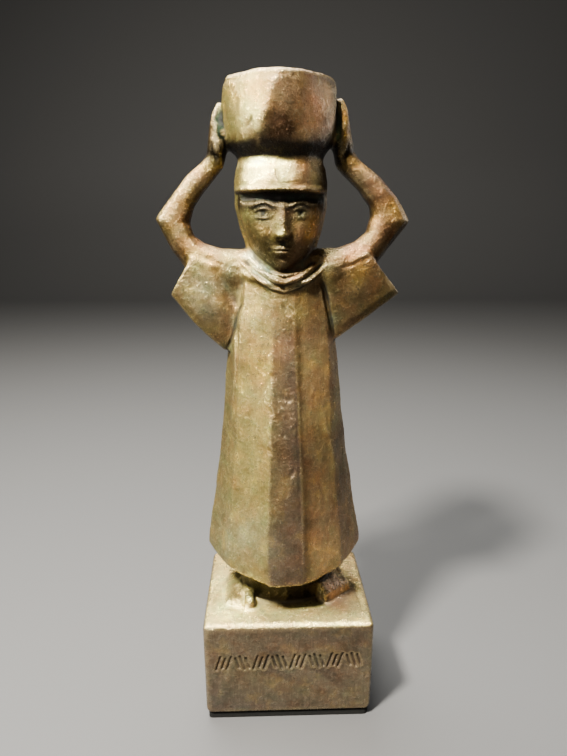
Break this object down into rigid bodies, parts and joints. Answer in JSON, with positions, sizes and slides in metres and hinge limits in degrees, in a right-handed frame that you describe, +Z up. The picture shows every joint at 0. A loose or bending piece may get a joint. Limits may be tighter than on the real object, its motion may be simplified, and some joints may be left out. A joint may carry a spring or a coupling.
{
  "type": "bronze figure statue",
  "caption": "Cast bronze figure in a long robe with a cap, both arms raised to hold an open jar on its head, on a block plinth.",
  "frame": {"origin": "centre of the underside, where the pad rests", "axes": "+Z up, the figure faces -Y, +X is the viewer's right"},
  "size_m": [0.1175, 0.069, 0.3045],
  "materials": {
    "bronze": "patinated cast bronze, golden brown with darker hollows and pale green in the creases",
    "black_pad": "matt black"
  },
  "bodies": {
    "root": {"statue": "bronze", "base_pad": "black_pad"}
  },
  "joints": []
}
